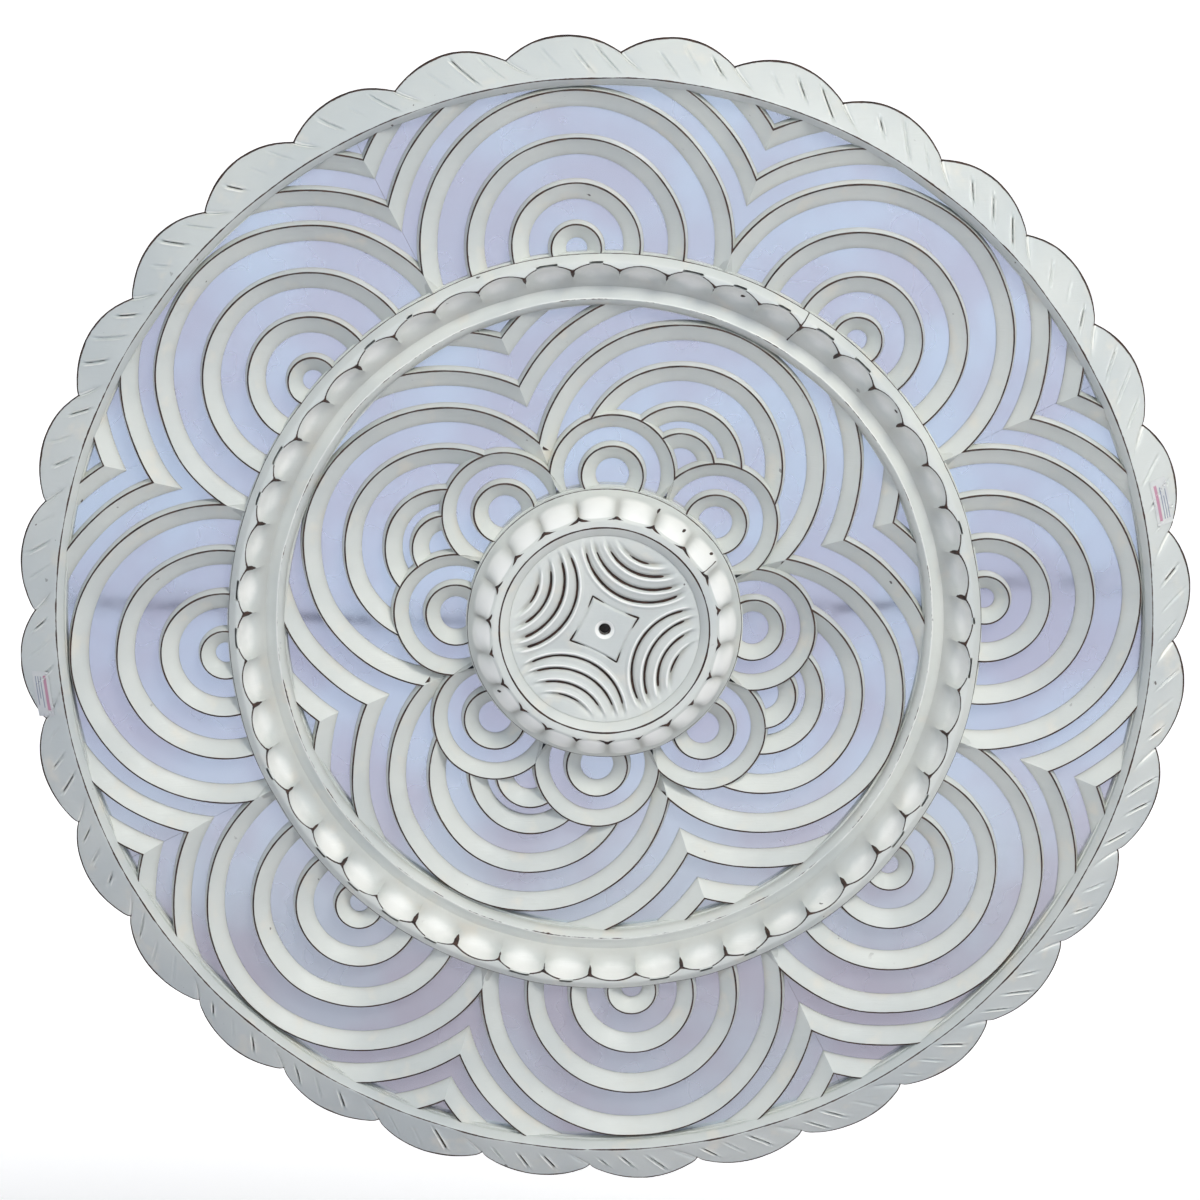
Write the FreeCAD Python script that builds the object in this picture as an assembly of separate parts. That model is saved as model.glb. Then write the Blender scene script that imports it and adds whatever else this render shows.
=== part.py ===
import FreeCAD, Part
import math
import os

# A round carved wall panel with mirror: a scalloped leaf rim, two pierced fretworks over mirror
# glass, a fluted step ring and a raised medallion, hung on two D-ring hangers.
#
# Millimetres. +Z is up, the carved face looks towards -Y, and the origin is the centre of the flat
# back that rests on the wall. Every piece is first drawn lying on its back, face up, with its depth
# from the wall along +Z, and save() stands it up.

V = FreeCAD.Vector
UP = V(0, 0, 1)

# ---- driving dimensions -------------------------------------------------------------------
PANEL_R = 457.0              # to the tips of the leaves: a 36 inch panel

# depths from the wall
BACK_PANEL_D = 11.0          # front of the back panel
INNER_GLASS_D = 14.0         # front of the inner mirror
STEP_RING_LOW_D = 21.0       # the step ring's low shoulder, under the middle ring
TRAY_BACK_D = 25.0           # back of the outer backing board
TRAY_FRONT_D = 30.0
OUTER_GLASS_D = 33.0         # front of the outer mirror
RIB_HEIGHT = 11.0            # every rib of both fretworks
BAND_HEIGHT = 6.6            # bands that join the ribs, hidden under the rings
RIB_OVERRUN = 3.0            # how far the outer ribs run into their outer band
LIP_D = 40.0                 # underside of the lips that cover those bands
RIM_BACK_D = 17.7
RIM_RIDGE_D = 50.0
LEAF_EDGE_D = 28.0
MIDDLE_CREST_D = 50.0
MIDDLE_FOOT_D = 44.0
LEDGE_EDGE_D = 31.0
FLUTE_FOOT_D = 26.5
CENTRE_RING_BACK_D = 25.0
CENTRE_RING_CREST_D = 56.0
MEDALLION_BACK_D = 40.0
MEDALLION_D = 50.0

# radii of the rings
LEAF_COUNT = 32
LEAF_NOTCH_R = 443.5
LEAF_START_DEG = 9.7         # one of the notches
RIM_RIDGE_R = 425.5
RIM_FOOT_R = 419.5
RIM_BORE_R = 426.4
FRAME_R = 430.0
FRAME_BORE_R = 400.0
FRAME_FLANGE_R = 384.0
MIDDLE_R = 292.0
MIDDLE_BODY_R = 282.0
MIDDLE_TOP_R = 285.0         # where the outer chamfer starts
FLUTE_CUSP_R = 278.5
FLUTE_FOOT_R = 264.5
LEDGE_EDGE_R = 255.5
MIDDLE_BORE_R = 250.0
FLUTE_COUNT = 48
FLUTE_CUT_R = 32.0
FLUTE_DEPTH = 5.2
STEP_RING_R = 302.0
STEP_RING_BORE_R = 256.4
CENTRE_R = 107.0
CENTRE_CREST_R = 90.5
CENTRE_LIP_R = 81.5
CENTRE_BORE_R = 74.0
LOBE_COUNT = 21
LOBE_VALLEY_R = 9.0
LOBE_DEPTH = 3.4
RING_JOINT_DEG = 31.0        # glue joint of the centre ring's two halves
MIDDLE_JOINT_DEG = 57.6      # first of the middle ring's four glue joints

# fretworks: petals of concentric ribs
OUTER_PETALS = 8
OUTER_PETAL_DEG = 4.2
OUTER_PETAL_R = 297.0
OUTER_RIB_R = (49.0, 83.0, 119.0, 146.0, 171.0)
BUD_R = 295.5                # centre of the small first arch of each outer petal
BUD_RIB_R = 19.0
INNER_PETALS = 4
INNER_PETAL_DEG = 64.5
INNER_PETAL_R = 136.7
INNER_RIB_R = (26.5, 47.5, 79.0, 111.0, 140.0, 171.0)
SMALL_PETALS = 8
SMALL_PETAL_DEG = 42.0
SMALL_PETAL_R = 116.0
SMALL_RIB_R = (24.0, 48.5)
RIB_SLOPE_W = 13.0           # long inner slope of a rib
SMALL_SLOPE_W = 11.0
RIB_CREST_W = 1.0
RIB_WALL_W = 2.7             # steep outer wall

# hangers
HANGER_X = 190.0
HANGER_Z = 235.0             # height of the hinge line
POCKET_W, POCKET_BELOW, POCKET_ABOVE, POCKET_DEPTH = 34.0, 48.0, 24.0, 7.0
RING_WIRE_R = 1.5
RING_BOW_R = 10.5
RING_LEG = 5.0
KNUCKLE_BORE_R = 1.55
KNUCKLE_R = 3.1
STRAP_W, STRAP_T, STRAP_L = 15.0, 1.2, 42.0
HINGE_DEPTH = POCKET_DEPTH - KNUCKLE_R
STRAP_SCREW_DROPS = (8.6, 33.0)

# screws, glass and labels
SCREW_HEAD_R, SCREW_SHANK_R = 4.0, 1.75
PAN_HEAD_R, PAN_HEAD_H = 3.2, 1.2
FRAME_SCREW_R, STEP_SCREW_R = 392.0, 292.0
FIRST_SCREW_DEG = 10.0
CLEARANCE = 0.4
GLASS_GAP = 0.15
LABEL_L, LABEL_W, LABEL_T = 36.0, 16.4, 0.3
LABELS = {"label_left": 187.0, "label_right": 13.0}
LABEL_R = 441.0

os.makedirs("parts", exist_ok=True)


# ---- helpers --------------------------------------------------------------------------------
def polar(radius, degrees, depth=0.0):
    angle = math.radians(degrees)
    return V(radius * math.cos(angle), radius * math.sin(angle), depth)


def save(name, shape):
    """Stand the piece up, face towards -Y, and write its file."""
    upright = shape.copy()
    upright.rotate(V(0, 0, 0), V(1, 0, 0), 90)
    upright.exportStep("parts/%s.step" % name)
    print("%-24s solids %3d  volume %9.1f cm3" % (name, len(upright.Solids), upright.Volume / 1000))


def disc(radius, low, high, centre=V(0, 0, 0)):
    return Part.makeCylinder(radius, high - low, centre + UP * low, UP)


def tube(inner, outer, low, high):
    return disc(outer, low, high).cut(disc(inner, low - 1, high + 1))


def sector(radius, low, high, start, span):
    """A pie slice that starts at the angle start and opens anticlockwise."""
    slice_ = Part.makeCylinder(radius, high - low, V(0, 0, low), UP, span)
    slice_.rotate(V(0, 0, 0), UP, start)
    return slice_


def turned(profile, centre=V(0, 0, 0)):
    """A closed profile of (radius, depth) points turned a full circle about an upright axis."""
    points = [centre + V(r, 0, d) for r, d in profile]
    face = Part.Face(Part.makePolygon(points + points[:1]))
    return face.revolve(centre, UP, 360)


def copies(shape, count, start=0.0):
    out = []
    for k in range(count):
        twin = shape.copy()
        twin.rotate(V(0, 0, 0), UP, start + k * 360.0 / count)
        out.append(twin)
    return out


def joined(shapes):
    return shapes[0].multiFuse(shapes[1:]).removeSplitter()


# ---- fretworks ------------------------------------------------------------------------------
def rib_ring(centre, radius, base, slope):
    """One round rib: a long slope towards the petal's centre and a steep wall outside."""
    top = base + RIB_HEIGHT
    inner_foot = max(radius - slope, 3.0)
    return turned([(inner_foot, base), (radius - RIB_CREST_W, top), (radius, top),
                   (radius + RIB_WALL_W, base)], centre)


def petal(rings, axis_deg, half_angle, inner, outer, base):
    """The ribs of one petal, trimmed to its slice between the two rings."""
    top = base + RIB_HEIGHT
    slice_ = sector(outer, base - 1, top + 1, axis_deg - half_angle, 2 * half_angle)
    room = slice_.cut(disc(inner, base - 2, top + 2))
    pieces = []
    for ring in rings:
        pieces += ring.common(room).Solids
    return pieces


def outer_fretwork():
    base = OUTER_GLASS_D
    centre = polar(OUTER_PETAL_R, OUTER_PETAL_DEG)
    rings = [rib_ring(centre, r, base, RIB_SLOPE_W) for r in OUTER_RIB_R]
    rings.append(rib_ring(polar(BUD_R, OUTER_PETAL_DEG), BUD_RIB_R, base, SMALL_SLOPE_W))
    half = 180.0 / OUTER_PETALS
    one = petal(rings, OUTER_PETAL_DEG, half, MIDDLE_R + 0.3, RIM_FOOT_R + RIB_OVERRUN, base)
    ribs = []
    for piece in one:
        ribs += copies(piece, OUTER_PETALS)
    inner_band = tube(MIDDLE_BODY_R + 1.4, MIDDLE_R + 1.2, base, base + BAND_HEIGHT)
    outer_band = tube(RIM_FOOT_R - 1.2, RIM_BORE_R - CLEARANCE, base, base + BAND_HEIGHT)
    whole = joined([inner_band, outer_band] + ribs)
    return whole.cut(tube(RIM_FOOT_R - 0.3, PANEL_R, base + BAND_HEIGHT, MEDALLION_D))


def inner_fretwork():
    base = INNER_GLASS_D
    outer_r = MIDDLE_BORE_R - 0.3
    rings = [rib_ring(polar(INNER_PETAL_R, INNER_PETAL_DEG), r, base, RIB_SLOPE_W)
             for r in INNER_RIB_R]
    flowers = [disc(SMALL_RIB_R[-1], base - 1, base + RIB_HEIGHT + 1,
                    polar(SMALL_PETAL_R, SMALL_PETAL_DEG + k * 45)) for k in range(SMALL_PETALS)]
    big = petal(rings, INNER_PETAL_DEG, 180.0 / INNER_PETALS, CENTRE_R + 0.3, outer_r, base)
    ribs = []
    for piece in big:
        trimmed = piece.cut(flowers)
        for solid in trimmed.Solids:
            ribs += copies(solid, INNER_PETALS)
    rings = [rib_ring(polar(SMALL_PETAL_R, SMALL_PETAL_DEG), r, base, SMALL_SLOPE_W)
             for r in SMALL_RIB_R]
    for piece in petal(rings, SMALL_PETAL_DEG, 180.0 / SMALL_PETALS, CENTRE_R + 0.3, outer_r, base):
        ribs += copies(piece, SMALL_PETALS)
    inner_band = tube(CENTRE_LIP_R + 2.9, CENTRE_R + 1.2, base, CENTRE_RING_BACK_D - CLEARANCE)
    outer_band = tube(MIDDLE_BORE_R - 1.2, STEP_RING_BORE_R - CLEARANCE, base, base + BAND_HEIGHT)
    return joined([inner_band, outer_band] + ribs)


# ---- rings ----------------------------------------------------------------------------------
def rim_segments():
    """The leaf rim in four quarters of eight leaves each."""
    step = 360.0 / LEAF_COUNT
    edges = []
    for k in range(LEAF_COUNT):
        start = LEAF_START_DEG + k * step
        edges.append(Part.Arc(polar(LEAF_NOTCH_R, start), polar(PANEL_R, start + step / 2),
                              polar(LEAF_NOTCH_R, start + step)).toShape())
    outline = Part.Face(Part.Wire(edges)).extrude(UP * (RIM_RIDGE_D + 10))
    slope = (RIM_RIDGE_D - LEAF_EDGE_D) / (PANEL_R - RIM_RIDGE_R)
    far = PANEL_R + 3
    far_d = RIM_RIDGE_D - slope * (far - RIM_RIDGE_R)
    body = turned([(RIM_BORE_R, RIM_BACK_D), (RIM_BORE_R, LIP_D), (RIM_FOOT_R, LIP_D),
                   (RIM_FOOT_R, OUTER_GLASS_D + RIB_HEIGHT), (RIM_RIDGE_R - 1.0, RIM_RIDGE_D),
                   (RIM_RIDGE_R, RIM_RIDGE_D), (far, far_d), (far, RIM_BACK_D)])
    quarter = sector(far + 1, 0, RIM_RIDGE_D + 1, LEAF_START_DEG, 90)
    return copies(body.common(outline).common(quarter), 4)


def middle_ring_segments():
    """The fluted step ring in four quarters."""
    body = turned([(MIDDLE_BORE_R, STEP_RING_LOW_D), (MIDDLE_BORE_R, TRAY_BACK_D),
                   (LEDGE_EDGE_R - 1.0, LEDGE_EDGE_D), (LEDGE_EDGE_R, LEDGE_EDGE_D),
                   (FLUTE_FOOT_R, FLUTE_FOOT_D), (FLUTE_CUSP_R, MIDDLE_CREST_D),
                   (MIDDLE_TOP_R, MIDDLE_CREST_D), (MIDDLE_R, MIDDLE_FOOT_D), (MIDDLE_R, LIP_D),
                   (MIDDLE_BODY_R, LIP_D), (MIDDLE_BODY_R, STEP_RING_LOW_D)])
    run = V(FLUTE_CUSP_R - FLUTE_FOOT_R, 0, MIDDLE_CREST_D - FLUTE_FOOT_D).normalize()
    out = V(run.z, 0, -run.x)                      # out of the slope, into the wood
    foot = V(FLUTE_FOOT_R, 0, FLUTE_FOOT_D) + out * FLUTE_DEPTH
    cutter = Part.makeCylinder(FLUTE_CUT_R, 60, foot - out * FLUTE_CUT_R, run)
    step = 360.0 / FLUTE_COUNT
    quarter = body.common(sector(MIDDLE_R + 1, 0, MIDDLE_CREST_D + 1, MIDDLE_JOINT_DEG, 90))
    flutes = copies(cutter, FLUTE_COUNT, MIDDLE_JOINT_DEG + step / 2)[:FLUTE_COUNT // 4]
    return copies(quarter.cut(flutes), 4)


def centre_ring_halves():
    """The lobed ring round the medallion, glued up from two halves."""
    back = CENTRE_RING_BACK_D
    body = turned([(CENTRE_BORE_R, back), (CENTRE_BORE_R, MEDALLION_D),
                   (CENTRE_LIP_R - 0.6, CENTRE_RING_CREST_D - 0.5),
                   (CENTRE_CREST_R, CENTRE_RING_CREST_D), (CENTRE_R, back + 3), (CENTRE_R, back)])
    run = V(CENTRE_R - CENTRE_CREST_R, 0, back + 3 - CENTRE_RING_CREST_D).normalize()
    out = V(-run.z, 0, run.x)                      # away from the wood
    start = V(CENTRE_CREST_R, 0, CENTRE_RING_CREST_D) - run * 6
    axis = start + out * (LOBE_VALLEY_R - LOBE_DEPTH)
    cutter = Part.makeCylinder(LOBE_VALLEY_R, 26, axis, run)
    step = 360.0 / LOBE_COUNT
    valleys = copies(cutter, LOBE_COUNT, RING_JOINT_DEG + step / 2)
    ring = body.cut(valleys)
    return [ring.common(sector(CENTRE_R + 1, 0, CENTRE_RING_CREST_D + 1, RING_JOINT_DEG + 180 * k, 180))
            for k in range(2)]


# ---- medallion ------------------------------------------------------------------------------
FAN_R = 70.5                 # centres of the four fans of carved grooves
FAN_GROOVES = (42.2, 31.6, 19.5, 10.2)
GROOVE_W, GROOVE_DEPTH = 5.0, 2.2
PLUG_HOLE_R, PLUG_SINK_R = 4.6, 8.0


def medallion():
    body = disc(CENTRE_BORE_R - CLEARANCE, MEDALLION_BACK_D, MEDALLION_D)
    cutters = []
    for k in range(4):
        centre = polar(FAN_R, INNER_PETAL_DEG + 90 * k)
        for radius in FAN_GROOVES:
            half = GROOVE_W / 2
            cutters.append(turned([(radius - half, MEDALLION_D + 0.1),
                                   (radius, MEDALLION_D - GROOVE_DEPTH),
                                   (radius + half, MEDALLION_D + 0.1)], centre))
    room = disc(CENTRE_BORE_R - 8, MEDALLION_BACK_D, MEDALLION_D + 1)
    cutters = [c.common(room) for c in cutters]
    hole = disc(PLUG_HOLE_R, MEDALLION_BACK_D - 1, MEDALLION_D + 1)
    sink = Part.makeCone(PLUG_HOLE_R, PLUG_SINK_R, 2.5, V(0, 0, MEDALLION_D - 2.5), UP)
    return body.cut(cutters + [hole, sink])


def wood_screw(head_depth, tip_depth, centre):
    """A countersunk screw whose head is at head_depth and whose point is at tip_depth."""
    way = 1 if tip_depth > head_depth else -1
    length = abs(tip_depth - head_depth)
    sunk = SCREW_HEAD_R - SCREW_SHANK_R
    head = Part.makeCone(SCREW_HEAD_R, SCREW_SHANK_R, sunk, centre + UP * head_depth, UP * way)
    shank = Part.makeCylinder(SCREW_SHANK_R, length, centre + UP * head_depth, UP * way)
    return head.fuse(shank)


# ---- hangers --------------------------------------------------------------------------------
def d_ring():
    """The wire ring, hanging from its straight bar, drawn about the hinge line."""
    bow, leg = RING_BOW_R, RING_LEG
    bar = Part.makeCylinder(RING_WIRE_R, 2 * bow, V(-bow, 0, 0), V(1, 0, 0))
    legs = [Part.makeCylinder(RING_WIRE_R, leg, V(x, 0, 0), V(0, -1, 0)) for x in (-bow, bow)]
    corners = [Part.makeSphere(RING_WIRE_R, V(x, 0, 0)) for x in (-bow, bow)]
    half_torus = Part.makeTorus(bow, RING_WIRE_R, V(0, 0, 0), UP, -180, 180, 180)
    half_torus.rotate(V(0, 0, 0), UP, 180)
    half_torus.translate(V(0, -leg, 0))
    return bar.multiFuse(legs + corners + [half_torus]).removeSplitter()


def hanger(side):
    """Strap, ring and two screws of one hanger, in place in its pocket."""
    hinge = V(side * HANGER_X, HANGER_Z, HINGE_DEPTH)
    ring = d_ring()
    ring.translate(hinge)
    knuckle = Part.makeCylinder(KNUCKLE_R, STRAP_W, hinge - V(STRAP_W / 2, 0, 0), V(1, 0, 0))
    strap = Part.makeBox(STRAP_W, STRAP_L, STRAP_T,
                         hinge + V(-STRAP_W / 2, -STRAP_L, KNUCKLE_R - STRAP_T))
    bore = Part.makeCylinder(KNUCKLE_BORE_R, STRAP_W + 2, hinge - V(STRAP_W / 2 + 1, 0, 0), V(1, 0, 0))
    strap = knuckle.fuse(strap).cut(bore)
    screws = []
    for drop in STRAP_SCREW_DROPS:
        centre = V(hinge.x, hinge.y - drop, 0)
        strap = strap.cut(disc(SCREW_SHANK_R + 0.15, 0, POCKET_DEPTH + 1, centre))
        seat = POCKET_DEPTH - STRAP_T
        head = disc(PAN_HEAD_R, seat - PAN_HEAD_H, seat, centre)
        screws.append(head.fuse(disc(SCREW_SHANK_R, seat, POCKET_DEPTH + 3.5, centre)))
    return strap.removeSplitter(), ring, screws


# ---- back -----------------------------------------------------------------------------------
def screw_places(radius, start):
    return [polar(radius, start + 45 * k) for k in range(8)]


def back_panel():
    panel = disc(FRAME_BORE_R - CLEARANCE, 0, BACK_PANEL_D)
    cutters = []
    for side in (-1, 1):
        corner = V(side * HANGER_X - POCKET_W / 2, HANGER_Z - POCKET_BELOW, -1)
        cutters.append(Part.makeBox(POCKET_W, POCKET_BELOW + POCKET_ABOVE, POCKET_DEPTH + 1, corner))
        for drop in STRAP_SCREW_DROPS:
            centre = V(side * HANGER_X, HANGER_Z - drop, 0)
            cutters.append(disc(SCREW_SHANK_R, 0, POCKET_DEPTH + 3.5, centre))
    sunk = SCREW_HEAD_R - SCREW_SHANK_R
    for centre in FRAME_SCREWS + STEP_SCREWS:
        cutters.append(disc(SCREW_SHANK_R, -1, BACK_PANEL_D + 1, centre))
        cutters.append(Part.makeCone(SCREW_HEAD_R, SCREW_SHANK_R, sunk, centre + UP * 0.3, UP))
        cutters.append(disc(SCREW_HEAD_R, -1, 0.3, centre))
    return panel.cut(cutters)


def frame_ring():
    body = turned([(FRAME_BORE_R, 0), (FRAME_R, 0), (FRAME_R, RIM_BACK_D), (RIM_FOOT_R - 0.5, RIM_BACK_D),
                   (RIM_FOOT_R - 0.5, TRAY_BACK_D), (FRAME_FLANGE_R, TRAY_BACK_D),
                   (FRAME_FLANGE_R, BACK_PANEL_D), (FRAME_BORE_R, BACK_PANEL_D)])
    return body.cut([disc(SCREW_SHANK_R, 0, SCREW_TIP_D, c) for c in FRAME_SCREWS])


def step_ring():
    body = turned([(STEP_RING_BORE_R, BACK_PANEL_D), (STEP_RING_R, BACK_PANEL_D),
                   (STEP_RING_R, TRAY_BACK_D), (MIDDLE_BODY_R + 0.5, TRAY_BACK_D),
                   (MIDDLE_BODY_R + 0.5, STEP_RING_LOW_D), (STEP_RING_BORE_R, STEP_RING_LOW_D)])
    return body.cut([disc(SCREW_SHANK_R, 0, SCREW_TIP_D, c) for c in STEP_SCREWS])


def label(degrees):
    """A paper label lying on the sloping face of the rim."""
    tilt = math.degrees(math.atan2(RIM_RIDGE_D - LEAF_EDGE_D, PANEL_R - RIM_RIDGE_R))
    depth = RIM_RIDGE_D - (LABEL_R - RIM_RIDGE_R) * math.tan(math.radians(tilt))
    paper = Part.makeBox(LABEL_W, LABEL_L, LABEL_T, V(-LABEL_W / 2, -LABEL_L / 2, 0))
    paper.rotate(V(0, 0, 0), V(0, 1, 0), tilt)
    paper.translate(V(LABEL_R, 0, depth + 0.2))
    paper.rotate(V(0, 0, 0), UP, degrees)
    return paper


# ---- assembly -------------------------------------------------------------------------------
FRAME_SCREWS = screw_places(FRAME_SCREW_R, FIRST_SCREW_DEG)
STEP_SCREWS = screw_places(STEP_SCREW_R, FIRST_SCREW_DEG)
SCREW_TIP_D = 20.0

for number, segment in enumerate(rim_segments(), 1):
    save("rim_segment_%d" % number, segment)
for number, segment in enumerate(middle_ring_segments(), 1):
    save("middle_ring_segment_%d" % number, segment)
for number, half_ring in enumerate(centre_ring_halves(), 1):
    save("centre_ring_half_%d" % number, half_ring)

glass = tube(MIDDLE_BODY_R + 1.4, RIM_BORE_R - 1.0, TRAY_FRONT_D, OUTER_GLASS_D)
for number in range(4):
    start_deg = OUTER_PETAL_DEG + 22.5 + 90 * number
    cut_deg = math.degrees(GLASS_GAP / 2 / MIDDLE_R)
    pane = glass.common(sector(PANEL_R, 0, MEDALLION_D, start_deg + cut_deg, 90 - 2 * cut_deg))
    save("outer_mirror_%d" % (number + 1), pane)

save("outer_fretwork", outer_fretwork())
save("outer_backing_board", tube(MIDDLE_BODY_R + 1.0, RIM_BORE_R - 0.8, TRAY_BACK_D, TRAY_FRONT_D))
save("inner_fretwork", inner_fretwork())
save("inner_mirror", disc(STEP_RING_BORE_R - CLEARANCE, BACK_PANEL_D, INNER_GLASS_D))
save("centre_block", disc(CENTRE_LIP_R + 2.5, INNER_GLASS_D, CENTRE_RING_BACK_D).fuse(
    disc(CENTRE_BORE_R - CLEARANCE, CENTRE_RING_BACK_D, MEDALLION_BACK_D)).removeSplitter().cut(
        disc(SCREW_SHANK_R, SCREW_TIP_D, MEDALLION_D)))
save("medallion", medallion())
save("medallion_screw", wood_screw(MEDALLION_BACK_D + 3, SCREW_TIP_D, V(0, 0, 0)))

save("frame_ring", frame_ring())
save("step_ring", step_ring())
save("back_panel", back_panel())
save("frame_screws", Part.makeCompound([wood_screw(0.3, SCREW_TIP_D, c) for c in FRAME_SCREWS]))
save("step_ring_screws", Part.makeCompound([wood_screw(0.3, SCREW_TIP_D, c) for c in STEP_SCREWS]))

for name, side in (("left", -1), ("right", 1)):
    strap, ring, screws = hanger(side)
    save("hanger_strap_%s" % name, strap)
    save("hanger_ring_%s" % name, ring)
    save("hanger_screws_%s" % name, Part.makeCompound(screws))
for name, degrees in LABELS.items():
    save(name, label(degrees))
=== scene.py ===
import math

import bpy
import numpy as np
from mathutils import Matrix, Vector


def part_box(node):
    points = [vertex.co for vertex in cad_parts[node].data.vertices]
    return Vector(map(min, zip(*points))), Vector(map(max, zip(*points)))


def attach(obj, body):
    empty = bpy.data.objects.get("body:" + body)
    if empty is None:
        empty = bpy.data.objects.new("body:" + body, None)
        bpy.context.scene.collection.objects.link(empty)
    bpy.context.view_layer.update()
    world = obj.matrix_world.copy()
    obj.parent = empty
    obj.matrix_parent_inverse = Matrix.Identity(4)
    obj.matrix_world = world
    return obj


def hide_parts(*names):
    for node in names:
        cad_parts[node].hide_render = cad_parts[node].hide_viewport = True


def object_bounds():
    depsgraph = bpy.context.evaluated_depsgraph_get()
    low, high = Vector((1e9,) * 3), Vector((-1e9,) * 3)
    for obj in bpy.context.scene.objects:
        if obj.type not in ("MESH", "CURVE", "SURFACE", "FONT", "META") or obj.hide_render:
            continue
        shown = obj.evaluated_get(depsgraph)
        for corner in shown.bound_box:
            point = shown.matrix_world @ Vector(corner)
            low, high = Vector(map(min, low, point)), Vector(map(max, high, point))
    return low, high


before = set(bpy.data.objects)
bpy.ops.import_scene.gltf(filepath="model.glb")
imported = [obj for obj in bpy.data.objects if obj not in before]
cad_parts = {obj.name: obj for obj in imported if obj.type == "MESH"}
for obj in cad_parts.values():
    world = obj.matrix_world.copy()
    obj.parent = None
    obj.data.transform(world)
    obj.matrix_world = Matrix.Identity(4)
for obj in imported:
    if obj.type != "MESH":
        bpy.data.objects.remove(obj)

# A round carved wall panel with mirror glass, standing face to -Y. Shapes are worked out in millimetres
# on the panel's own face, as a radius, an angle from +X towards +Z and a depth out from the wall, and
# turned into metres by stand().

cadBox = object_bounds()
mm = 0.001
print("frame loaded:", len(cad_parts), "nodes")


def depths(node):                       # how far a node's back and front are from the wall, in mm
    low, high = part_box(node)
    return -high.y / mm, -low.y / mm


outerGlass = depths("outer_mirror_1")[1]
innerGlass = depths("inner_mirror")[1]


def stand(x, z, depth):                 # millimetres on the face to metres in the frame
    return np.stack(np.broadcast_arrays(x, -np.asarray(depth, float), z), -1) * mm


def fromPolar(radius, angle, depth):    # angle in radians
    return stand(radius * np.cos(angle), radius * np.sin(angle), depth)


# Smooth unevenness between about -1 and 1: the sum of plane waves about as long as size, in seeded
# directions.
def waves(x, z, size, seed):
    rng = np.random.default_rng(seed)
    total = 0.0
    for turn, phase, stretch in rng.uniform((0, 0, 0.7), (2 * np.pi, 2 * np.pi, 1.5), (7, 3)):
        run = (x * np.cos(turn) + z * np.sin(turn)) * 2 * np.pi / (size * stretch)
        total = total + np.sin(run + phase)
    return total / 3.0


def smooth(low, high, value):           # 0 below low, 1 above high, an easy curve between
    t = np.clip((value - low) / (high - low), 0, 1)
    return t * t * (3 - 2 * t)


# The hand of the carver: every point of a piece slides a little over the face, by an amount that depends
# only on where it is, so that pieces that meet still meet.
def handCarved(points, amount=0.35, size=70.0, seed=5):
    x, z = points[..., 0] / mm, points[..., 2] / mm
    points = points.copy()
    points[..., 0] += waves(x, z, size, seed) * amount * mm
    points[..., 2] += waves(x, z, size, seed + 1) * amount * mm
    return points


# One object from closed shells. A shell's points are a grid: down the rows runs the closed outline of its
# section, along the columns its path. A path that doesn't close gets an end face at both ends. A shell that
# comes out with a negative volume is turned round, so faces point outwards.
def shellsToObject(name, shells, sharpAngle=42.0):
    spots, faces, count = [], [], 0
    layers = {"wearAndShadow": [], "hollowShadeAndDirt": [], "highlightAndFreshWhite": []}
    for shell in shells:
        points = shell["points"]
        rows, columns = points.shape[:2]
        index = np.arange(rows * columns).reshape(rows, columns)
        loop = np.vstack([index, index[:1]])
        if shell.get("ring"):
            loop = np.hstack([loop, loop[:, :1]])
        quads = np.stack([loop[:-1, :-1], loop[:-1, 1:], loop[1:, 1:], loop[1:, :-1]], -1).reshape(-1, 4)
        ends = [] if shell.get("ring") else [index[:, 0], index[::-1, -1]]
        flat = points.reshape(-1, 3)
        a, b, c, d = (flat[quads[:, i]] for i in range(4))
        volume = (a * np.cross(b, c)).sum() + (a * np.cross(c, d)).sum()
        for end in ends:
            e = flat[end]
            volume += (e[:1] * np.cross(e[1:-1], e[2:])).sum()
        turn = slice(None, None, 1 if volume > 0 else -1)
        faces += (quads[:, turn] + count).tolist() + [(end[turn] + count).tolist() for end in ends]
        spots.append(flat)
        for label, values in layers.items():
            values.append(np.broadcast_to(shell.get(label, 0.0), (rows, columns)).reshape(-1))
        count += rows * columns
    mesh = bpy.data.meshes.new(name)
    mesh.from_pydata(np.concatenate(spots).tolist(), [], faces)
    for label, values in layers.items():
        layer = mesh.attributes.new(label, "FLOAT", "POINT")
        layer.data.foreach_set("value", np.concatenate(values).astype(np.float32))
    mesh.shade_smooth()
    mesh.set_sharp_from_angle(angle=math.radians(sharpAngle))
    piece = bpy.data.objects.new(name, mesh)
    bpy.context.scene.collection.objects.link(piece)
    return piece


ribs = {
    "height": 11.0, "wall": 2.7,        # the steep outer wall's width
    "slope": 13.0, "smallSlope": 11.0,  # the long inner slope's width
    "spacing": 2.6,                     # between columns
}
outerPetals = {
    "count": 8, "axis": 4.2, "centre": 297.0, "radii": (49.0, 83.0, 119.0, 146.0, 174.0),
    "budCentre": 295.5, "budRadius": 19.0, "inner": 291.0, "outer": 421.0,
}
bigPetals = {
    "count": 4, "axis": 64.5, "centre": 136.7, "radii": (26.5, 47.5, 79.0, 111.0, 140.0, 171.0),
    "inner": 106.0, "outer": 251.0,
}
smallPetals = {
    "count": 8, "axis": 42.0, "centre": 116.0, "radii": (24.0, 48.5), "inner": 106.0, "outer": 251.0,
}
bands = {                               # flat rings that tie the petals: inner radius, outer radius, height
    "outer": ((283.5, 293.0, 6.6), (418.4, 425.9, 6.6)),
    "inner": ((84.5, 108.2, 10.5), (248.8, 255.9, 6.6)),
}


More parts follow.
